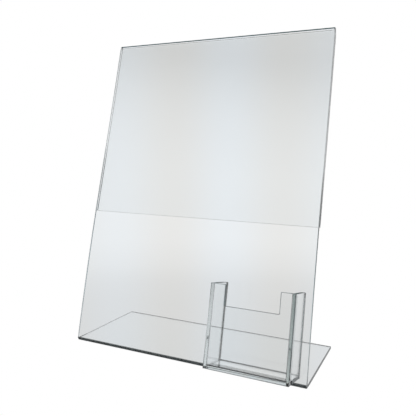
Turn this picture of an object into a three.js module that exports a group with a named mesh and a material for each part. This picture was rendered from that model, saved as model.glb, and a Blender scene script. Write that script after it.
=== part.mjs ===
// Clear acrylic slant-back counter-top holder with a small card pocket.
//
// The body is one sheet of acrylic, line-bent twice: a flat foot, an acute bend at the
// front, a tall panel that leans back over the foot, a tight fold at the top, and a
// half-height flap that hangs down behind the panel. A sheet of letter paper stands on
// the foot and slides up between panel and flap. A pocket of four cemented plates
// (front with a thumb notch, two side walls, a floor) sits low on the panel's front face
// at the right.
//
// Units are millimetres. X runs to the right seen from the front, Y away from the
// viewer, Z up. The origin is the centre of the footprint, on the underside of the foot.

import * as THREE from 'three';

// ---- the bent sheet ----
const SHEET_WIDTH = 215.9;        // 8.5 in, the width of letter paper
const SHEET_THICKNESS = 2.5;
const SLANT_HEIGHT = 290.5;       // foot's underside to the top of the fold, along the lean
const LEAN_DEG = 13.0;            // mean lean of the panel from the vertical
const FOOT_DEPTH = 88.9;          // 3.5 in, from the front bend to the foot's rear edge
const FRONT_BEND_RADIUS = 0.6;     // inner radius of the sharp bend between foot and panel
const TOP_FOLD_RADIUS = 0.5;       // inner radius of the tight fold at the top
const FLAP_REACH = 168.5;         // top of the fold to the flap's lower edge, along the lean
const FLAP_TIP_GAP = 0.8;          // space between panel and flap at the flap's lower edge
const BOW_MAIN = 1.5;             // forward bow of the panel left by the heating, mid height
const BOW_LOW = 0.65;             // extra bow in the lower half
const FRONT_BEND_STEPS = 14;
const TOP_FOLD_STEPS = 20;
const PANEL_STEPS = 26;
const FLAP_STEPS = 14;

// ---- the card pocket ----
const POCKET_PLATE = 2.5;         // thickness of all four plates
const POCKET_LEFT = 34.3;         // outer faces, from the panel's centre line
const POCKET_RIGHT = 101.6;
const POCKET_BOTTOM = 7.4;        // outer bottom, along the lean from the foot's underside
const POCKET_HEIGHT = 64.2;
const POCKET_DEPTH = 27.9;        // panel's face to the outside of the front plate
const NOTCH_LEFT = 46.8;          // sides of the thumb notch in the front plate
const NOTCH_RIGHT = 90.4;
const NOTCH_DEPTH = 16.0;         // from the pocket's top edge down
const NOTCH_RADIUS = 0.8;         // inside corners of the notch
const CEMENT_GAP = 0.2;           // film of cement between plates

const rad = THREE.MathUtils.degToRad;
const lean = rad(LEAN_DEG);

// Forward bow of the panel at a height s along the lean, and its slope.
const bow = (s) => BOW_MAIN * Math.sin(Math.PI * s / SLANT_HEIGHT)
  + BOW_LOW * Math.sin(2 * Math.PI * s / SLANT_HEIGHT);
const bowSlope = (s) => (Math.PI / SLANT_HEIGHT) * (BOW_MAIN * Math.cos(Math.PI * s / SLANT_HEIGHT)
  + 2 * BOW_LOW * Math.cos(2 * Math.PI * s / SLANT_HEIGHT));
// Heading of the panel in the side view: 0 points along +Y, 90 degrees up.
const panelHeading = (s) => Math.PI / 2 - lean + Math.atan(bowSlope(s));

// Middle line of the sheet in the side view, walked from the foot's rear edge to the
// front, up the panel, over the fold and down the flap. Every turn is clockwise, so the
// left-hand side of the walk is the outside of the sheet.
function sheetMiddleLine() {
  const half = SHEET_THICKNESS / 2;
  const startHeading = panelHeading(0);
  const rFront = FRONT_BEND_RADIUS + half;
  const rTop = TOP_FOLD_RADIUS + half;
  const frontTurn = Math.PI - startHeading;
  // Straight run of the foot, so that its outer bend meets the virtual corner at Y = 0.
  const setback = (FRONT_BEND_RADIUS + SHEET_THICKNESS) * Math.tan(frontTurn / 2);
  const line = [];
  let y = FOOT_DEPTH, z = half, heading = Math.PI;
  const put = () => line.push({ y, z, heading });
  const straight = (d) => { y += d * Math.cos(heading); z += d * Math.sin(heading); put(); };
  const arc = (radius, turn, steps) => {
    const cy = y + radius * Math.sin(heading), cz = z - radius * Math.cos(heading);
    const h0 = heading;
    for (let i = 1; i <= steps; i++) {
      heading = h0 - turn * i / steps;
      y = cy - radius * Math.sin(heading);
      z = cz + radius * Math.cos(heading);
      put();
    }
  };
  put();
  straight(FOOT_DEPTH - setback);
  arc(rFront, frontTurn, FRONT_BEND_STEPS);
  // Panel: from the end of the front bend to the start of the fold.
  const s0 = setback, s1 = SLANT_HEIGHT - (TOP_FOLD_RADIUS + SHEET_THICKNESS);
  const ds = (s1 - s0) / PANEL_STEPS;
  for (let i = 0; i < PANEL_STEPS; i++) {
    const sm = s0 + ds * (i + 0.5);
    heading = panelHeading(sm);
    y += ds * Math.cos(heading); z += ds * Math.sin(heading);
    heading = panelHeading(sm + ds / 2);
    put();
  }
  // Fold: a little more than half a turn, so that the flap closes on the panel.
  const flapLength = FLAP_REACH - (TOP_FOLD_RADIUS + SHEET_THICKNESS);
  const closing = (2 * TOP_FOLD_RADIUS - FLAP_TIP_GAP) / flapLength;
  arc(rTop, Math.PI + closing, TOP_FOLD_STEPS);
  const df = flapLength / FLAP_STEPS;
  for (let i = 0; i < FLAP_STEPS; i++) {
    const sm = s1 - df * (i + 0.5);
    heading = panelHeading(sm) - Math.PI - closing;
    y += df * Math.cos(heading); z += df * Math.sin(heading);
    put();
  }
  return line;
}

function sheetProfile() {
  const half = SHEET_THICKNESS / 2;
  const line = sheetMiddleLine();
  const outside = line.map((p) => new THREE.Vector2(
    p.y - half * Math.sin(p.heading), p.z + half * Math.cos(p.heading)));
  const inside = line.map((p) => new THREE.Vector2(
    p.y + half * Math.sin(p.heading), p.z - half * Math.cos(p.heading)));
  return { outside, inside };
}

const profile = sheetProfile();

// The footprint is centred on the origin: the pocket's lower front edge is the foremost
// point and the foot's rear edge the rearmost.
const pocketMid = POCKET_BOTTOM + POCKET_HEIGHT / 2;
const pocketLean = lean - Math.atan(bowSlope(pocketMid));
const sinP = Math.sin(pocketLean), cosP = Math.cos(pocketLean);

// Point on the panel's front face at a height s along the lean.
function panelFace(s) {
  const pts = profile.outside;
  let best = pts[0], bestD = Infinity;
  for (let i = FRONT_BEND_STEPS + 1; i < FRONT_BEND_STEPS + 1 + PANEL_STEPS; i++) {
    const a = pts[i], b = pts[i + 1];
    for (let k = 0; k <= 20; k++) {
      const q = a.clone().lerp(b, k / 20);
      const along = q.x * Math.sin(lean) + q.y * Math.cos(lean);
      if (Math.abs(along - s) < bestD) { bestD = Math.abs(along - s); best = q; }
    }
  }
  return best;
}

// The pocket's own frame: local X right, local Y into the panel, local Z up its slope.
// Its back edges stay CEMENT_GAP clear of the panel, which bulges by a tenth of a
// millimetre between the pocket's top and bottom.
const face = panelFace(pocketMid);
const outward = new THREE.Vector2(-cosP, sinP);
const pocketOrigin = face.clone()
  .addScaledVector(outward, CEMENT_GAP)
  .addScaledVector(new THREE.Vector2(sinP, cosP), -POCKET_HEIGHT / 2);

const yFront = Math.min(
  pocketOrigin.x + outward.x * (POCKET_DEPTH - CEMENT_GAP),
  ...profile.outside.map((p) => p.x));
const yRear = Math.max(...profile.outside.map((p) => p.x), ...profile.inside.map((p) => p.x));
const yShift = -(yFront + yRear) / 2;

// ---- materials ----
const acrylic = () => new THREE.MeshStandardMaterial({
  color: 0xdfe6e8, roughness: 0.05, metalness: 0.0, transparent: true, opacity: 0.35,
});
const cutEdge = () => new THREE.MeshStandardMaterial({
  color: 0xd3dcdd, roughness: 0.08, metalness: 0.0, transparent: true, opacity: 0.4,
});

const holder = new THREE.Group();
const shifted = new THREE.Group();
shifted.position.y = yShift;
holder.add(shifted);

// ---- bent_sheet ----
{
  const shape = new THREE.Shape([...profile.outside, ...profile.inside.slice().reverse()]);
  const geometry = new THREE.ExtrudeGeometry(shape, {
    depth: SHEET_WIDTH, steps: 1, bevelEnabled: false,
  });
  geometry.translate(0, 0, -SHEET_WIDTH / 2);
  // Profile (a, b) lies in the YZ plane, and the depth runs along X.
  geometry.applyMatrix4(new THREE.Matrix4().makeBasis(
    new THREE.Vector3(0, 1, 0), new THREE.Vector3(0, 0, 1), new THREE.Vector3(1, 0, 0)));
  const mesh = new THREE.Mesh(geometry, acrylic());
  mesh.name = 'bent_sheet';
  shifted.add(mesh);
}

// ---- the card pocket ----
const pocket = new THREE.Group();
pocket.position.set(0, pocketOrigin.x, pocketOrigin.y);
pocket.rotation.x = -pocketLean;
shifted.add(pocket);

const wallDepth = POCKET_DEPTH - CEMENT_GAP - POCKET_PLATE - CEMENT_GAP;

// Front plate, full width and height, with the thumb notch cut from its top edge.
{
  const w0 = POCKET_LEFT, w1 = POCKET_RIGHT, h = POCKET_HEIGHT;
  const n0 = NOTCH_LEFT, n1 = NOTCH_RIGHT, nb = h - NOTCH_DEPTH, r = NOTCH_RADIUS;
  const shape = new THREE.Shape();
  shape.moveTo(w0, 0);
  shape.lineTo(w1, 0);
  shape.lineTo(w1, h);
  shape.lineTo(n1, h);
  shape.lineTo(n1, nb + r);
  shape.absarc(n1 - r, nb + r, r, 0, -Math.PI / 2, true);
  shape.lineTo(n0 + r, nb);
  shape.absarc(n0 + r, nb + r, r, -Math.PI / 2, -Math.PI, true);
  shape.lineTo(n0, h);
  shape.lineTo(w0, h);
  shape.lineTo(w0, 0);
  const geometry = new THREE.ExtrudeGeometry(shape, {
    depth: POCKET_PLATE, steps: 1, bevelEnabled: false, curveSegments: 6,
  });
  // The outline stands in the XZ plane, and the plate's depth runs along -Y.
  geometry.rotateX(Math.PI / 2);
  const mesh = new THREE.Mesh(geometry, cutEdge());
  mesh.name = 'pocket_front';
  mesh.position.y = -(wallDepth + CEMENT_GAP);
  pocket.add(mesh);
}

// Side walls, cemented between the panel and the front plate.
function sideWall(name, x) {
  const mesh = new THREE.Mesh(
    new THREE.BoxGeometry(POCKET_PLATE, wallDepth, POCKET_HEIGHT), cutEdge());
  mesh.name = name;
  mesh.position.set(x, -wallDepth / 2, POCKET_HEIGHT / 2);
  pocket.add(mesh);
}
sideWall('pocket_left_wall', POCKET_LEFT + POCKET_PLATE / 2);
sideWall('pocket_right_wall', POCKET_RIGHT - POCKET_PLATE / 2);

// Floor, cemented between the side walls, flush with their lower ends.
{
  const inner = POCKET_RIGHT - POCKET_LEFT - 2 * POCKET_PLATE - 2 * CEMENT_GAP;
  const mesh = new THREE.Mesh(
    new THREE.BoxGeometry(inner, wallDepth, POCKET_PLATE), cutEdge());
  mesh.name = 'pocket_floor';
  mesh.position.set((POCKET_LEFT + POCKET_RIGHT) / 2, -wallDepth / 2, POCKET_PLATE / 2);
  pocket.add(mesh);
}

export default holder;
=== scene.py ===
import math

import bmesh
import bpy
from mathutils import Matrix, Vector


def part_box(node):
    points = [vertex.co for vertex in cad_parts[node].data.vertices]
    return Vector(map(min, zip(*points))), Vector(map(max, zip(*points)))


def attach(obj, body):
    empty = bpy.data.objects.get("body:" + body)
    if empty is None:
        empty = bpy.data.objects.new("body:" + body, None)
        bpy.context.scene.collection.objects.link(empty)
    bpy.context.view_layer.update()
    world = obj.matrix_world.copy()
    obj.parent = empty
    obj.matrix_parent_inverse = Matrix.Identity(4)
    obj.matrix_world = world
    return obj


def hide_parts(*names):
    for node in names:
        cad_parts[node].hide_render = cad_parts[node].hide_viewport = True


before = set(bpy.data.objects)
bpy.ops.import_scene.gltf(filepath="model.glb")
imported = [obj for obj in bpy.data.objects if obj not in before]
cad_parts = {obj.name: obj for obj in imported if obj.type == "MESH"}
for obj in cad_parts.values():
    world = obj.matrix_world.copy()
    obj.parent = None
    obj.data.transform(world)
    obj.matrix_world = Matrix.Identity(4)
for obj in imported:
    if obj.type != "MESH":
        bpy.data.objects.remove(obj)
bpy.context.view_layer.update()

MM = 0.001

# ---------------------------------------------------------------- dimensions (mm)
# The same driving dimensions as the CAD model.
SHEET_WIDTH = 215.9
SHEET_T = 2.5
SLANT_HEIGHT = 290.5
LEAN = math.radians(13.0)
FOOT_DEPTH = 88.9
FRONT_R = 0.6
TOP_R = 0.5
FLAP_REACH = 168.5
FLAP_TIP_GAP = 0.8
BOW_MAIN = 1.5
BOW_LOW = 0.65

PLATE = 2.5
PK_LEFT, PK_RIGHT = 34.3, 101.6
PK_BOTTOM, PK_HEIGHT, PK_DEPTH = 7.4, 64.2, 27.9
NOTCH_LEFT, NOTCH_RIGHT, NOTCH_DEPTH, NOTCH_R = 46.8, 90.4, 16.0, 0.8
CEMENT = 0.2

EDGE_R = 0.30          # flame-polished edges
REAR_R = 0.60          # the foot's rear edge is broken more
SIDE_TRIM = 0.06       # how far the straight side edges stand inside the bends' ears
OVERLAP = 0.02         # cemented faces are wetted through, so they meet without an air film


# ---------------------------------------------------------------- side view of the sheet
def bow(s):
    return BOW_MAIN * math.sin(math.pi * s / SLANT_HEIGHT) + BOW_LOW * math.sin(2 * math.pi * s / SLANT_HEIGHT)


def bow_slope(s):
    return (math.pi / SLANT_HEIGHT) * (BOW_MAIN * math.cos(math.pi * s / SLANT_HEIGHT)
                                       + 2 * BOW_LOW * math.cos(2 * math.pi * s / SLANT_HEIGHT))


def panel_heading(s):
    return math.pi / 2 - LEAN + math.atan(bow_slope(s))


def middle_line(front_steps=28, panel_steps=78, top_steps=44, flap_steps=42, foot_steps=10):
    """Points (y, z, heading, bend) of the sheet's middle line; bend is 1 inside a bend and 0 on the flats."""
    half = SHEET_T / 2
    turn_front = math.pi - panel_heading(0)
    setback = (FRONT_R + SHEET_T) * math.tan(turn_front / 2)
    r_front, r_top = FRONT_R + half, TOP_R + half
    y, z, h = FOOT_DEPTH, half, math.pi
    line = [(y, z, h, 0.0)]
    run = FOOT_DEPTH - setback
    for i in range(1, foot_steps + 1):
        line.append((FOOT_DEPTH - run * i / foot_steps, z, h, 0.0))
    y = FOOT_DEPTH - run

    def arc(radius, turn, steps):
        nonlocal y, z, h
        cy, cz, h0 = y + radius * math.sin(h), z - radius * math.cos(h), h
        for i in range(1, steps + 1):
            h = h0 - turn * i / steps
            y, z = cy - radius * math.sin(h), cz + radius * math.cos(h)
            line.append((y, z, h, 1.0))

    arc(r_front, turn_front, front_steps)
    # the CAD model walks the panel in 26 chords; the same chords are cut finer here
    s0, s1 = setback, SLANT_HEIGHT - (TOP_R + SHEET_T)
    cad = 26
    ds = (s1 - s0) / cad
    fine = panel_steps // cad
    for i in range(cad):
        hc = panel_heading(s0 + ds * (i + 0.5))
        y0, z0 = y, z
        for k in range(1, fine + 1):
            y, z = y0 + ds * k / fine * math.cos(hc), z0 + ds * k / fine * math.sin(hc)
            h = panel_heading(s0 + ds * (i + k / fine))
            line.append((y, z, h, 0.0))
    flap = FLAP_REACH - (TOP_R + SHEET_T)
    closing = (2 * TOP_R - FLAP_TIP_GAP) / flap
    arc(r_top, math.pi + closing, top_steps)
    cad = 14
    df = flap / cad
    fine = flap_steps // cad
    for i in range(cad):
        hc = panel_heading(s1 - df * (i + 0.5)) - math.pi - closing
        y0, z0 = y, z
        for k in range(1, fine + 1):
            y, z = y0 + df * k / fine * math.cos(hc), z0 + df * k / fine * math.sin(hc)
            h = panel_heading(s1 - df * (i + k / fine)) - math.pi - closing
            line.append((y, z, h, 0.0))
    return line


LINE = middle_line()


def bend_share(line, reach=3.2):
    """How much a point of the middle line belongs to a bend: 1 inside, fading over a few millimetres beside it."""
    dist = [0.0]
    for a, b in zip(line, line[1:]):
        dist.append(dist[-1] + math.hypot(b[0] - a[0], b[1] - a[1]))
    inside = [d for d, p in zip(dist, line) if p[3] > 0]
    out = []
    for d in dist:
        near = min(abs(d - i) for i in inside)
        out.append(math.exp(-(near / reach) ** 2 * 2.0))
    return out


EARS = bend_share(LINE)

cad_lo, cad_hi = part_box("bent_sheet")
Y_SHIFT = cad_hi.y / MM - FOOT_DEPTH      # the foot's rear edge is the rearmost face of the sheet


# ---------------------------------------------------------------- mesh helpers
def new_object(name, verts, faces, smooth=True, looks=None):
    mesh = bpy.data.meshes.new(name)
    mesh.from_pydata([(x * MM, y * MM, z * MM) for x, y, z in verts], [], faces)
    mesh.update()
    if looks:
        for p, k in zip(mesh.polygons, looks):
            p.material_index = k
    bm = bmesh.new()
    bm.from_mesh(mesh)
    bmesh.ops.recalc_face_normals(bm, faces=bm.faces)
    bm.to_mesh(mesh)
    bm.free()
    for p in mesh.polygons:
        p.use_smooth = smooth
    ob = bpy.data.objects.new(name, mesh)
    bpy.context.scene.collection.objects.link(ob)
    return ob


def weight_normals(ob):
    m = ob.modifiers.new("face_weighted_normals", "WEIGHTED_NORMAL")
    m.mode = "FACE_AREA"
    m.weight = 60
    m.keep_sharp = True
    return m


FLAT, EDGE, BEND, SIDE, FOLD, REAR = 0, 1, 2, 3, 4, 5     # material slots: polished face, cut edge (painted shade), heated bend with painted shade (or cement bead, painted shade), polished side edge (painted shade), top fold (painted shade), sawn rear edge (painted near-black shade)
RIM_SHADE = 3                                        # in the right wall: the front rim, tinted darker and warmer as painted shade for the dark line at the right-front corner
FRONT_BEAD_SHADE = 3                                     # in the pocket's floor: the thicker run of cement along the front, painted near-black as shade


# ---------------------------------------------------------------- the bent sheet
def sheet_ring(inset):
    """Outline of the sheet's side view, drawn in by inset all round, as a closed list of (y, z, ear, side).
    The two ends of the sheet are rounded with the edge radius."""
    half = SHEET_T / 2 - inset
    r = max(EDGE_R - inset, 0.02)
    steps = 4
    pts = []
    line = LINE

    def end_arc(p, sign, ear):
        # round the two corners of a sheet end; sign +1 at the walk's last point, -1 at its first
        y, z, h, _ = p
        ch, sh = math.cos(h), math.sin(h)
        r = max((EDGE_R if sign > 0 else REAR_R) - inset, 0.02)
        out = []
        for corner in (1, -1):
            for k in range(steps + 1):
                a = math.pi / 2 * k / steps
                if corner == 1:
                    along, across = -r + r * math.sin(a) - inset, half - r + r * math.cos(a)
                else:
                    along, across = -r + r * math.cos(a) - inset, -(half - r + r * math.sin(a))
                along *= 1
                if sign > 0:
                    yy, zz = y + along * ch, z + along * sh
                else:
                    yy, zz = y - along * ch, z - along * sh
                out.append((yy - across * sh, zz + across * ch, ear, across))
        return out

    first, last = line[0], line[-1]
    body = list(zip(line[1:-1], EARS[1:-1]))
    for (y, z, h, _), e in body:
        pts.append((y - half * math.sin(h), z + half * math.cos(h), e, half))
    pts += end_arc(last, +1, EARS[-1])
    for (y, z, h, _), e in reversed(body):
        pts.append((y + half * math.sin(h), z - half * math.cos(h), e, -half))
    start = end_arc(first, -1, EARS[0])
    pts += list(reversed(start))
    return pts, len(body), 2 * (steps + 1)


# steps of the foot's rear edge that are painted near-black as shade
REAR_SHADE_STEPS = (0, 8)
TOP_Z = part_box("bent_sheet")[1][2] / MM         # highest point of the CAD sheet


def build_sheet():
    stations = []
    edge_steps = 4
    for k in range(edge_steps + 1):
        a = math.pi / 2 * k / edge_steps
        stations.append((EDGE_R * (1 - math.sin(a)) if k < edge_steps else 0.0, EDGE_R * (1 - math.cos(a))))
    # stations: (inset of the outline, distance in from the end); reorder so that the end face comes first
    ends = [(EDGE_R * (1 - math.sin(math.pi / 2 * k / edge_steps)), EDGE_R * (1 - math.cos(math.pi / 2 * k / edge_steps)))
            for k in range(edge_steps + 1)]
    half_w = SHEET_WIDTH / 2
    inner = [0.0, 1.0, 2.5, 5.0, 9.0, 15.0, 25.0, 40.0, 60.0, 82.0]
    rings = []
    for inset, d in ends:
        rings.append((inset, d))
    for d in inner[1:]:
        rings.append((0.0, EDGE_R + d))
    full = [(inset, -1, d) for inset, d in rings] + [(0.0, 0, None)] + [(inset, 1, d) for inset, d in reversed(rings)]
    verts, ring_n, n_body, n_end = [], 0, 0, 0
    for inset, sign, d in full:
        pts, n_body, n_end = sheet_ring(inset)
        ring_n = len(pts)
        for y, z, ear, across in pts:
            if sign == 0:
                x = 0.0
            else:
                # beside a bend the squeezed inner side swells out into a small ear, and the stretched outer side draws in
                near = math.exp(-(d / 5.0) ** 2)
                swell = ear * (SIDE_TRIM if across < 0 else -0.22)
                x = sign * (half_w - SIDE_TRIM + swell * near - d)
            verts.append((x, y + Y_SHIFT, min(z, TOP_Z)))
    faces, looks = [], []
    rings_total = len(full)
    # only the outer skin of each bend gets painted shade, standing for the dark line that refraction shows at a bend;
    # shares of the front bend's and the top fold's turn
    shaded_bend_faces = [False] * n_body
    arcs, start = [], None
    for i in range(n_body):
        if LINE[i + 1][3] > 0 and start is None:
            start = i
        if LINE[i + 1][3] == 0 and start is not None:
            arcs.append((start, i))
            start = None
    for (a0, a1), (f0, f1) in zip(arcs, ((0.0, 0.75), (0.05, 0.62))):
        for i in range(a0, a1):
            shaded_bend_faces[i] = f0 <= (i - a0) / (a1 - a0) <= f1
    foot_end = arcs[0][0]
    for i in range(rings_total - 1):
        a, b = i * ring_n, (i + 1) * ring_n
        rounding = i < edge_steps or i >= rings_total - 1 - edge_steps
        for k in range(ring_n):
            k2 = (k + 1) % ring_n
            faces.append((a + k, a + k2, b + k2, b + k))
            look = FLAT
            if k < n_body:
                look = (FOLD if k >= arcs[1][0] else BEND) if shaded_bend_faces[k] else FLAT
            elif k >= n_body + n_end + n_body:
                step = k - (n_body + n_end + n_body)
                look = REAR if REAR_SHADE_STEPS[0] <= step <= REAR_SHADE_STEPS[1] else FLAT   # the foot's rear edge, painted near-black as shade
            # the rounded side edges are painted shade: dark along the foot and its rear corners, lighter along the rest
            if rounding:
                at = k if k < n_body else (2 * n_body + n_end - 1 - k if n_body + n_end <= k < 2 * n_body + n_end else -1)
                look = EDGE if -1 < at < foot_end or k >= 2 * n_body + n_end else SIDE
            looks.append(look)
    # end caps: strips between the outer and the inner line, then the two rounded ends
    for base in (0, (rings_total - 1) * ring_n):
        outer = [base + k for k in range(n_body)]
        endl = [base + n_body + k for k in range(n_end)]
        innr = [base + n_body + n_end + k for k in range(n_body)]
        endf = [base + 2 * n_body + n_end + k for k in range(n_end)]
        m = n_body
        for k in range(m - 1):
            faces.append((outer[k], outer[k + 1], innr[m - 2 - k], innr[m - 1 - k]))
        faces.append(tuple([outer[-1]] + endl + [innr[0]]))
        faces.append(tuple([innr[-1]] + endf + [outer[0]]))
        # the side faces are painted shade the same way: dark along the foot and the rear end, lighter along the rest
        looks += [EDGE if n_body - 1 - k < 0 or k < foot_end else SIDE for k in range(m - 1)] + [SIDE, EDGE]
    ob = new_object("clear_bent_sheet", verts, faces, looks=looks)
    return ob


# ---------------------------------------------------------------- the pocket's own frame
def panel_face(s):
    """Point of the panel's front face at a height s along the lean, in the row frame (y, z)."""
    best, best_d = None, 1e9
    pts = [(y - SHEET_T / 2 * math.sin(h), z + SHEET_T / 2 * math.cos(h)) for y, z, h, _ in LINE]
    pts = pts[39:39 + 78]
    for a, b in zip(pts, pts[1:]):
        for k in range(11):
            q = (a[0] + (b[0] - a[0]) * k / 10, a[1] + (b[1] - a[1]) * k / 10)
            d = abs(q[0] * math.sin(LEAN) + q[1] * math.cos(LEAN) - s)
            if d < best_d:
                best, best_d = q, d
    return best


# Axes of the pocket, read from the CAD side wall's eight corners.
wall_lo, wall_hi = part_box("pocket_left_wall")
corners = sorted({(round(v.co.y / MM, 4), round(v.co.z / MM, 4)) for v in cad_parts["pocket_left_wall"].data.vertices})
low_back = min(corners, key=lambda c: c[1])             # the lower corner at the panel
top_front = max(corners, key=lambda c: c[1])            # the upper corner at the front plate
side = [c for c in corners if c not in (low_back, top_front)]
top_back = max(side, key=lambda c: c[0])
P_UP = ((top_back[0] - low_back[0]) / PK_HEIGHT, (top_back[1] - low_back[1]) / PK_HEIGHT)
P_OUT = (-P_UP[1], P_UP[0])                             # out of the panel's face, towards the viewer
ORIGIN = low_back


def pocket_point(u, out, up):
    return (u, ORIGIN[0] + P_OUT[0] * out + P_UP[0] * up, ORIGIN[1] + P_OUT[1] * out + P_UP[1] * up)


def panel_gap(up):
    """Distance from the wall's back edge line to the panel's front face at a height up the pocket."""
    lo, hi = None, None
    pts = [(y - SHEET_T / 2 * math.sin(h) + Y_SHIFT, z + SHEET_T / 2 * math.cos(h)) for y, z, h, _ in LINE][30:120]
    prev = None
    for p in pts:
        dy, dz = p[0] - ORIGIN[0], p[1] - ORIGIN[1]
        a = (dy * P_UP[0] + dz * P_UP[1], dy * P_OUT[0] + dz * P_OUT[1])
        if prev is not None and prev[0] <= up <= a[0]:
            t = (up - prev[0]) / max(a[0] - prev[0], 1e-9)
            return prev[1] + (a[1] - prev[1]) * t
        prev = a
    return -CEMENT


def offset_outline(pts, d):
    """Draws a closed counter-clockwise outline in by d, corner by corner."""
    out = []
    n = len(pts)
    for i in range(n):
        a, b, c = pts[i - 1], pts[i], pts[(i + 1) % n]
        e1 = Vector((b[0] - a[0], b[1] - a[1])).normalized()
        e2 = Vector((c[0] - b[0], c[1] - b[1])).normalized()
        n1, n2 = Vector((-e1.y, e1.x)), Vector((-e2.y, e2.x))
        m = n1 + n2
        k = d / max(1 + n1.dot(n2), 0.2)
        out.append((b[0] + m.x * k, b[1] + m.y * k))
    return out


def plate(name, outline, thickness, place, r=EDGE_R, steps=4, clear=(), shaded_rim=(), extra=None):
    """A plate with rounded edges: outline is a counter-clockwise list in the plate's plane, place turns
    (a, b, depth) into a point of the row frame."""
    levels = []
    for k in range(steps + 1):
        a = math.pi / 2 * k / steps
        levels.append((r * (1 - math.sin(a)), r * (1 - math.cos(a))))
    prof = levels + [(i, thickness - d) for i, d in reversed(levels)]
    verts, n = [], len(outline)
    for inset, depth in prof:
        for a, b in offset_outline(outline, inset):
            verts.append(place(a, b, depth))
    faces, looks = [], []
    for i in range(len(prof) - 1):
        for k in range(n):
            k2 = (k + 1) % n
            faces.append((i * n + k, i * n + k2, (i + 1) * n + k2, (i + 1) * n + k))
            # the plates' cut edges are painted dark as shade
            looks.append(FLAT if k in clear else RIM_SHADE if k in shaded_rim else EDGE)
    faces.append(tuple(reversed(range(n))))
    faces.append(tuple(range((len(prof) - 1) * n, len(prof) * n)))
    looks += [FLAT, FLAT]
    for pts, quads, *look in extra or ():
        base = len(verts)
        verts += pts
        faces += [tuple(base + q for q in quad) for quad in quads]
        looks += (look or [BEND]) * len(quads)
    return new_object(name, verts, faces, looks=looks)


def bead(corner, leg_a, leg_b, start, end, place):
    """A bead of cement in an inside corner: a small hollow-faced prism. corner, leg_a and leg_b are points of the
    corner's section, start and end its run, and place turns (p, q, run) into a point of the row frame."""
    hollow = []
    for i in range(7):
        t = i / 6
        a = (1 - t) ** 2, 2 * t * (1 - t), t * t
        mid = (corner[0] * 0.72 + (leg_a[0] + leg_b[0]) * 0.14, corner[1] * 0.72 + (leg_a[1] + leg_b[1]) * 0.14)
        hollow.append((leg_a[0] * a[0] + mid[0] * a[1] + leg_b[0] * a[2], leg_a[1] * a[0] + mid[1] * a[1] + leg_b[1] * a[2]))
    section = [corner] + hollow
    n, runs = len(section), 9
    pts, quads = [], []
    for i in range(runs):
        run = start + (end - start) * i / (runs - 1)
        pts += [place(p, q, run) for p, q in section]
    for i in range(runs - 1):
        for k in range(n):
            k2 = (k + 1) % n
            quads.append((i * n + k, i * n + k2, (i + 1) * n + k2, (i + 1) * n + k))
    quads.append(tuple(reversed(range(n))))
    quads.append(tuple(range((runs - 1) * n, runs * n)))
    return pts, quads


WALL_DEPTH = PK_DEPTH - 2 * CEMENT - PLATE        # CAD depth of the side walls
FRONT_BACK = WALL_DEPTH + CEMENT                  # inner face of the front plate, out from the walls' back edges


def arc_points(cx, cy, r, a0, a1, steps):
    return [(cx + r * math.cos(a0 + (a1 - a0) * i / steps), cy + r * math.sin(a0 + (a1 - a0) * i / steps)) for i in range(steps + 1)]


def build_front():
    h, nb = PK_HEIGHT, PK_HEIGHT - NOTCH_DEPTH
    outline = [(PK_LEFT, 0.0), (PK_RIGHT, 0.0), (PK_RIGHT, h), (NOTCH_RIGHT, h)]
    outline += arc_points(NOTCH_RIGHT - NOTCH_R, nb + NOTCH_R, NOTCH_R, 0.0, -math.pi / 2, 10)
    outline += arc_points(NOTCH_LEFT + NOTCH_R, nb + NOTCH_R, NOTCH_R, -math.pi / 2, -math.pi, 10)
    outline += [(NOTCH_LEFT, h), (PK_LEFT, h)]
    return plate("clear_pocket_front", outline, PLATE, lambda a, b, d: pocket_point(a, FRONT_BACK + d, b),
                 clear=(0, 3, len(outline) - 1))


def build_wall(name, x0, inner):
    """A side wall. inner is the side (+1 or -1) that faces into the pocket."""
    back = []
    steps = 16
    for i in range(steps + 1):
        up = PK_HEIGHT * i / steps
        back.append((panel_gap(up) - OVERLAP, up))
    # counter-clockwise seen with "out" to the right and "up" upwards
    outline = list(reversed(back)) + [(FRONT_BACK + OVERLAP, 0.0), (FRONT_BACK + OVERLAP, PK_HEIGHT)]
    xin = x0 + PLATE if inner > 0 else x0
    xout = x0 if inner > 0 else x0 + PLATE
    flat = lambda p, q, run: pocket_point(p, q, run)
    g0, g1 = FRONT_BACK + OVERLAP, panel_gap(PK_HEIGHT / 2) - OVERLAP
    w = -inner * OVERLAP
    front_leg = BEAD if inner < 0 else BEAD * 0.4
    beads = [
        bead((xin + w, g0), (xin + inner * front_leg, g0), (xin + w, g0 - front_leg), PLATE, PK_HEIGHT - 0.4, flat),
        bead((xin + w, g1), (xin + inner * BEAD, g1), (xin + w, g1 + BEAD), PLATE, PK_HEIGHT - 0.4, flat),
        bead((xout - w, g1), (xout - inner * BEAD, g1), (xout - w, g1 + BEAD), 0.3, PK_HEIGHT - 0.4, flat),
    ]
    # the right wall's front rim is tinted darker and warmer: painted shade
    return plate(name, outline, PLATE, lambda a, b, d: pocket_point(x0 + d, a, b), 
                 clear=tuple(range(steps)) + ((steps + 1,) if inner > 0 else ()), shaded_rim=() if inner > 0 else (steps + 1,), extra=beads)


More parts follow.
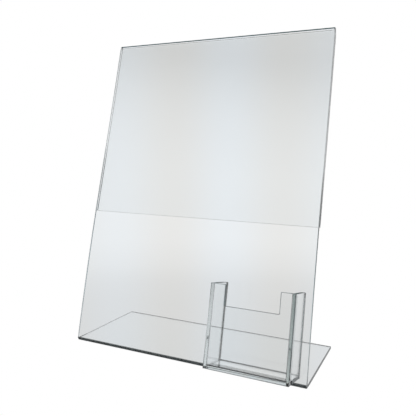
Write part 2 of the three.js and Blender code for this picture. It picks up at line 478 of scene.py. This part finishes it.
def build_floor():
    x0, x1 = PK_LEFT + PLATE - OVERLAP, PK_RIGHT - PLATE + OVERLAP
    g = min(panel_gap(0.5), panel_gap(PLATE - 0.2)) - OVERLAP
    outline = [(x0, g), (x1, g), (x1, FRONT_BACK + OVERLAP), (x0, FRONT_BACK + OVERLAP)]
    g0, top = FRONT_BACK + OVERLAP, PLATE - OVERLAP
    across = lambda p, q, run: pocket_point(run, p, q)
    beads = [
        # the floor's front bead is painted near-black as shade
        bead((g0, top), (g0 - BEAD, top), (g0, PLATE + BEAD * 1.3), x0, x1, across) + (FRONT_BEAD_SHADE,),
        bead((g, top), (g + BEAD, top), (g, PLATE + BEAD), x0, x1, across),
    ]
    return plate("clear_pocket_floor", outline, PLATE, lambda a, b, d: pocket_point(a, b, d), clear=(0, 2), extra=beads)


BEAD = 0.55
sheet = build_sheet()
front = build_front()
left = build_wall("clear_pocket_left_wall", PK_LEFT, 1)
right = build_wall("clear_pocket_right_wall", PK_RIGHT - PLATE, -1)
floor_plate = build_floor()
PIECES = [
    (sheet, "bent_sheet", "sheet_acrylic"),
    (front, "pocket_front", "pocket_acrylic"),
    (left, "pocket_left_wall", "pocket_acrylic"),
    (right, "pocket_right_wall", "pocket_acrylic"),
    (floor_plate, "pocket_floor", "pocket_acrylic"),
]
for ob, node, slot in PIECES:
    weight_normals(ob)


# ---------------------------------------------------------------- materials
def acrylic(name, seed, tint=(0.985, 0.990, 0.992), absorb=(0.80, 0.86, 0.87), density=20.0, through=1.0,
            haze=(0.0, 0.035), wave=0.00002, wave_scale=28.0, cut=False):
    """Clear acrylic: slightly uneven gloss (wiped-on haze, fine scratches), a faint waviness of the extruded
    sheet, and the colour of a long path through it. cut=True gives the fine saw and scraper marks of an edge."""
    mat = bpy.data.materials.new(name)
    mat.use_nodes = True
    nt = mat.node_tree
    nt.nodes.clear()
    out = nt.nodes.new("ShaderNodeOutputMaterial")
    p = nt.nodes.new("ShaderNodeBsdfPrincipled")
    p.inputs["Base Color"].default_value = (*tint, 1)
    p.inputs["Transmission Weight"].default_value = through
    p.inputs["IOR"].default_value = 1.49
    nt.links.new(p.outputs[0], out.inputs["Surface"])
    tc = nt.nodes.new("ShaderNodeTexCoord")
    move = nt.nodes.new("ShaderNodeMapping")
    move.inputs["Location"].default_value = (seed * 0.37, seed * 0.61, seed * 0.13)
    nt.links.new(tc.outputs["Object"], move.inputs["Vector"])
    cloud = nt.nodes.new("ShaderNodeTexNoise")
    cloud.inputs["Scale"].default_value = 22.0
    cloud.inputs["Detail"].default_value = 5.0
    nt.links.new(move.outputs[0], cloud.inputs["Vector"])
    stretch = nt.nodes.new("ShaderNodeMapping")
    stretch.inputs["Scale"].default_value = (900.0, 900.0, 14.0) if not cut else (160.0, 160.0, 2600.0)
    stretch.inputs["Rotation"].default_value = (0.22, 0.05, 0.0)
    nt.links.new(move.outputs[0], stretch.inputs["Vector"])
    fine = nt.nodes.new("ShaderNodeTexNoise")
    fine.inputs["Scale"].default_value = 1.0
    fine.inputs["Detail"].default_value = 2.0
    nt.links.new(stretch.outputs[0], fine.inputs["Vector"])
    both = math_node(nt, "MULTIPLY", cloud.outputs["Fac"], fine.outputs["Fac"])
    rough = nt.nodes.new("ShaderNodeMapRange")
    rough.inputs["From Min"].default_value = 0.22
    rough.inputs["From Max"].default_value = 0.42
    rough.inputs["To Min"].default_value = haze[0]
    rough.inputs["To Max"].default_value = haze[1]
    nt.links.new(both, rough.inputs["Value"])
    nt.links.new(rough.outputs["Result"], p.inputs["Roughness"])
    swell = nt.nodes.new("ShaderNodeTexNoise")
    swell.inputs["Scale"].default_value = wave_scale
    swell.inputs["Detail"].default_value = 1.0
    nt.links.new(move.outputs[0], swell.inputs["Vector"])
    bump = nt.nodes.new("ShaderNodeBump")
    bump.inputs["Strength"].default_value = 1.0
    bump.inputs["Distance"].default_value = wave
    nt.links.new(swell.outputs["Fac"] if not cut else fine.outputs["Fac"], bump.inputs["Height"])
    nt.links.new(bump.outputs["Normal"], p.inputs["Normal"])
    vol = nt.nodes.new("ShaderNodeVolumeAbsorption")
    vol.inputs["Color"].default_value = (*absorb, 1)
    vol.inputs["Density"].default_value = density
    nt.links.new(vol.outputs[0], out.inputs["Volume"])
    return mat


def math_node(nt, op, a, b=None, clamp=False):
    n = nt.nodes.new("ShaderNodeMath")
    n.operation = op
    n.use_clamp = clamp
    for i, v in enumerate((a, b)):
        if v is None:
            continue
        if isinstance(v, (int, float)):
            n.inputs[i].default_value = v
        else:
            nt.links.new(v, n.inputs[i])
    return n.outputs[0]


sheet_mat = acrylic("clear_acrylic_sheet", 1)
plate_mat = acrylic("clear_acrylic_plate", 2)
# dark tint painted as shade on every cut edge; the saw and scraper marks are real
cut_edge_painted_shade_mat = acrylic("acrylic_cut_edge_painted_shade", 3, tint=(0.22, 0.23, 0.24), through=0.75, haze=(0.03, 0.12), wave=0.00001, cut=True)
# darker tint on the bends' outer skin: painted shade for the dark line that refraction shows there
bend_painted_shade_mat = acrylic("acrylic_line_bend_painted_shade", 4, tint=(0.62, 0.64, 0.65), haze=(0.0, 0.05), wave=0.00003, wave_scale=60.0)
# slightly darker tint on the polished side edges: painted shade
side_edge_painted_shade_mat = acrylic("acrylic_side_edge_painted_shade", 6, tint=(0.80, 0.82, 0.84), through=0.95, haze=(0.02, 0.10), wave=0.00001, cut=True)
# darker tint on the top fold: painted shade
fold_painted_shade_mat = acrylic("acrylic_top_fold_painted_shade", 7, tint=(0.66, 0.68, 0.69), haze=(0.0, 0.05), wave=0.00003, wave_scale=60.0)
# near-black tint on the floor's front cement bead: painted shade
front_bead_painted_shade_mat = acrylic("acrylic_front_bead_painted_shade", 8, tint=(0.10, 0.10, 0.10), through=0.9, haze=(0.0, 0.05), wave=0.00002, wave_scale=400.0)
# darker, warmer tint on the right wall's front rim: painted shade
rim_painted_shade_mat = acrylic("acrylic_rim_painted_shade", 9, tint=(0.70, 0.67, 0.62), haze=(0.02, 0.10), wave=0.00002, wave_scale=400.0)
# near-black tint on the foot's rear edge: painted shade; the saw marks are real
rear_painted_shade_mat = acrylic("acrylic_rear_edge_painted_shade", 10, tint=(0.06, 0.06, 0.06), through=0.60, haze=(0.05, 0.18), wave=0.00001, cut=True)
# grey tint on the cement beads in the inside corners: painted shade
bead_painted_shade_mat = acrylic("acrylic_cement_bead_painted_shade", 5, tint=(0.45, 0.46, 0.46), haze=(0.02, 0.10), wave=0.00002, wave_scale=400.0)
for ob, node, slot in PIECES:
    ob.data.materials.append(sheet_mat if node == "bent_sheet" else plate_mat)
    ob.data.materials.append(cut_edge_painted_shade_mat)
    ob.data.materials.append(bend_painted_shade_mat if node == "bent_sheet" else bead_painted_shade_mat)
    if node == "bent_sheet":
        ob.data.materials.append(side_edge_painted_shade_mat)
        ob.data.materials.append(fold_painted_shade_mat)
        ob.data.materials.append(rear_painted_shade_mat)
    if node == "pocket_floor":
        ob.data.materials.append(front_bead_painted_shade_mat)
    if node == "pocket_right_wall":
        ob.data.materials.append(rim_painted_shade_mat)
    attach(ob, "root")
    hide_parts(node)


# ---------------------------------------------------------------- stage
def link(nt, a, b):
    nt.links.new(a, b)


def build_stage():
    size = 6.0
    mesh = bpy.data.meshes.new("studio_floor")
    mesh.from_pydata([(-size, -size, 0), (size, -size, 0), (size, size, 0), (-size, size, 0)], [], [(0, 1, 2, 3)])
    ob = bpy.data.objects.new("studio_floor", mesh)
    ob.location.z = -0.00005
    bpy.context.scene.collection.objects.link(ob)
    mat = bpy.data.materials.new("studio_floor_paper")
    mat.use_nodes = True
    nt = mat.node_tree
    nt.nodes.clear()
    out = nt.nodes.new("ShaderNodeOutputMaterial")
    white = nt.nodes.new("ShaderNodeEmission")
    white.inputs["Color"].default_value = (1, 1, 1, 1)
    clear = nt.nodes.new("ShaderNodeBsdfTransparent")
    lp = nt.nodes.new("ShaderNodeLightPath")
    mix = nt.nodes.new("ShaderNodeMixShader")
    link(nt, lp.outputs["Is Camera Ray"], mix.inputs[0])
    link(nt, clear.outputs[0], mix.inputs[1])
    link(nt, white.outputs[0], mix.inputs[2])
    link(nt, mix.outputs[0], out.inputs["Surface"])
    mesh.materials.append(mat)
    return ob


# Soft light tent by elevation in degrees: (elevation, brightness). Bright low down, dark overhead.
TENT = [(-90, 0.20), (-60, 0.24), (-42, 0.42), (-32, 0.64), (-24, 0.72), (-16.5, 0.75), (-14.5, 0.775), (-12.5, 0.84), (-10, 0.885),
        (-3, 0.905), (1, 0.894), (4.2, 0.876), (7.6, 0.835), (11, 0.776), (14, 0.79), (24, 0.78), (29, 0.60), (35, 0.12),
        (50, 0.05), (90, 0.04)]


def build_world():
    world = bpy.data.worlds.new("studio")
    bpy.context.scene.world = world
    world.use_nodes = True
    nt = world.node_tree
    nt.nodes.clear()
    out = nt.nodes.new("ShaderNodeOutputWorld")
    tc = nt.nodes.new("ShaderNodeTexCoord")
    sep = nt.nodes.new("ShaderNodeSeparateXYZ")
    link(nt, tc.outputs["Generated"], sep.inputs[0])
    elev = math_node(nt, "DIVIDE", math_node(nt, "ARCSINE", sep.outputs["Z"]), math.pi)
    fac = math_node(nt, "ADD", elev, 0.5)
    ramp = nt.nodes.new("ShaderNodeValToRGB")
    ramp.color_ramp.interpolation = "LINEAR"
    link(nt, fac, ramp.inputs["Fac"])
    els = ramp.color_ramp.elements
    for i, (deg, v) in enumerate(TENT):
        pos = deg / 180.0 + 0.5
        if i == 0:
            e = els[0]
            e.position = pos
        elif i == len(TENT) - 1:
            e = els[len(els) - 1]
            e.position = pos
        else:
            e = els.new(pos)
        e.color = (v, v, v, 1)
    # gentle warm and cool streaks of the backdrop cloth behind the object
    az = math_node(nt, "ARCTAN2", sep.outputs["X"], sep.outputs["Y"])
    off = math_node(nt, "ADD", az, math.radians(24.71))           # 0 straight behind the object
    wave = math_node(nt, "SINE", math_node(nt, "ADD", math_node(nt, "MULTIPLY", off, 2 * math.pi / math.radians(13.2)), STREAK_PHASE))
    near = math_node(nt, "POWER", math.e, math_node(nt, "MULTIPLY", math_node(nt, "MULTIPLY", off, off), -1 / (2 * math.radians(16) ** 2)))
    amount = math_node(nt, "MULTIPLY", wave, near)
    mixc = nt.nodes.new("ShaderNodeMix")
    mixc.data_type = "RGBA"
    mixc.inputs["A"].default_value = (0.995, 1.030, 1.060, 1)
    mixc.inputs["B"].default_value = (0.972, 0.966, 0.948, 1)
    link(nt, math_node(nt, "ADD", math_node(nt, "MULTIPLY", amount, 0.5), 0.5), mixc.inputs["Factor"])
    mul = nt.nodes.new("ShaderNodeMix")
    mul.data_type = "RGBA"
    mul.blend_type = "MULTIPLY"
    mul.inputs["Factor"].default_value = 1.0
    link(nt, ramp.outputs["Color"], mul.inputs["A"])
    link(nt, mixc.outputs["Result"], mul.inputs["B"])
    # the tent is brightest behind the object and falls off towards the sides and the viewer
    cosaz = math_node(nt, "COSINE", off)
    turned = nt.nodes.new("ShaderNodeMapRange")
    turned.interpolation_type = "SMOOTHSTEP"
    turned.inputs["From Min"].default_value = 0.80
    turned.inputs["From Max"].default_value = -0.25
    turned.inputs["To Min"].default_value = 1.0
    turned.inputs["To Max"].default_value = 1.0 - FLAG_DEPTH
    link(nt, cosaz, turned.inputs["Value"])
    level = turned.outputs["Result"]
    bg = nt.nodes.new("ShaderNodeBackground")
    link(nt, mul.outputs["Result"], bg.inputs["Color"])
    link(nt, level, bg.inputs["Strength"])
    white = nt.nodes.new("ShaderNodeBackground")
    white.inputs["Color"].default_value = (1, 1, 1, 1)
    lp = nt.nodes.new("ShaderNodeLightPath")
    mix = nt.nodes.new("ShaderNodeMixShader")
    link(nt, lp.outputs["Is Camera Ray"], mix.inputs[0])
    link(nt, bg.outputs[0], mix.inputs[1])
    link(nt, white.outputs[0], mix.inputs[2])
    link(nt, mix.outputs[0], out.inputs[0])


STREAK_PHASE = 3.998
FLAG_DEPTH = 0.42
build_stage()
build_world()

# ---------------------------------------------------------------- camera
F_PX, AZ, EL, ROLL = 489.7, math.radians(24.71), math.radians(-3.20), math.radians(-0.98)
CAM_AT = (0.19264, -0.35181 + Y_SHIFT * MM, 0.17348)
PP = (215.65, 183.0)
rot = Matrix.Rotation(AZ, 3, "Z") @ Matrix.Rotation(EL, 3, "X") @ Matrix.Rotation(ROLL, 3, "Y")
right_v, fwd_v, up_v = rot.col[0], rot.col[1], rot.col[2]
cam_data = bpy.data.cameras.new("photo_view")
cam = bpy.data.objects.new("photo_view", cam_data)
bpy.context.scene.collection.objects.link(cam)
m = Matrix((
    (right_v.x, up_v.x, -fwd_v.x, CAM_AT[0]),
    (right_v.y, up_v.y, -fwd_v.y, CAM_AT[1]),
    (right_v.z, up_v.z, -fwd_v.z, CAM_AT[2]),
    (0, 0, 0, 1)))
cam.matrix_world = m
cam_data.sensor_width = 36.0
cam_data.lens = F_PX * 36.0 / 416.0
cam_data.shift_x = -(PP[0] - 208.0) / 416.0
cam_data.shift_y = (PP[1] - 208.0) / 416.0
cam_data.clip_start = 0.01
cam_data.clip_end = 50
bpy.context.scene.camera = cam

scene = bpy.context.scene
scene.view_settings.view_transform = "Standard"
scene.view_settings.look = "None"
scene.cycles.max_bounces = 40
scene.cycles.transmission_bounces = 40
scene.cycles.glossy_bounces = 40
scene.cycles.diffuse_bounces = 4
scene.cycles.caustics_refractive = True
scene.cycles.caustics_reflective = True
scene.cycles.use_denoising = True
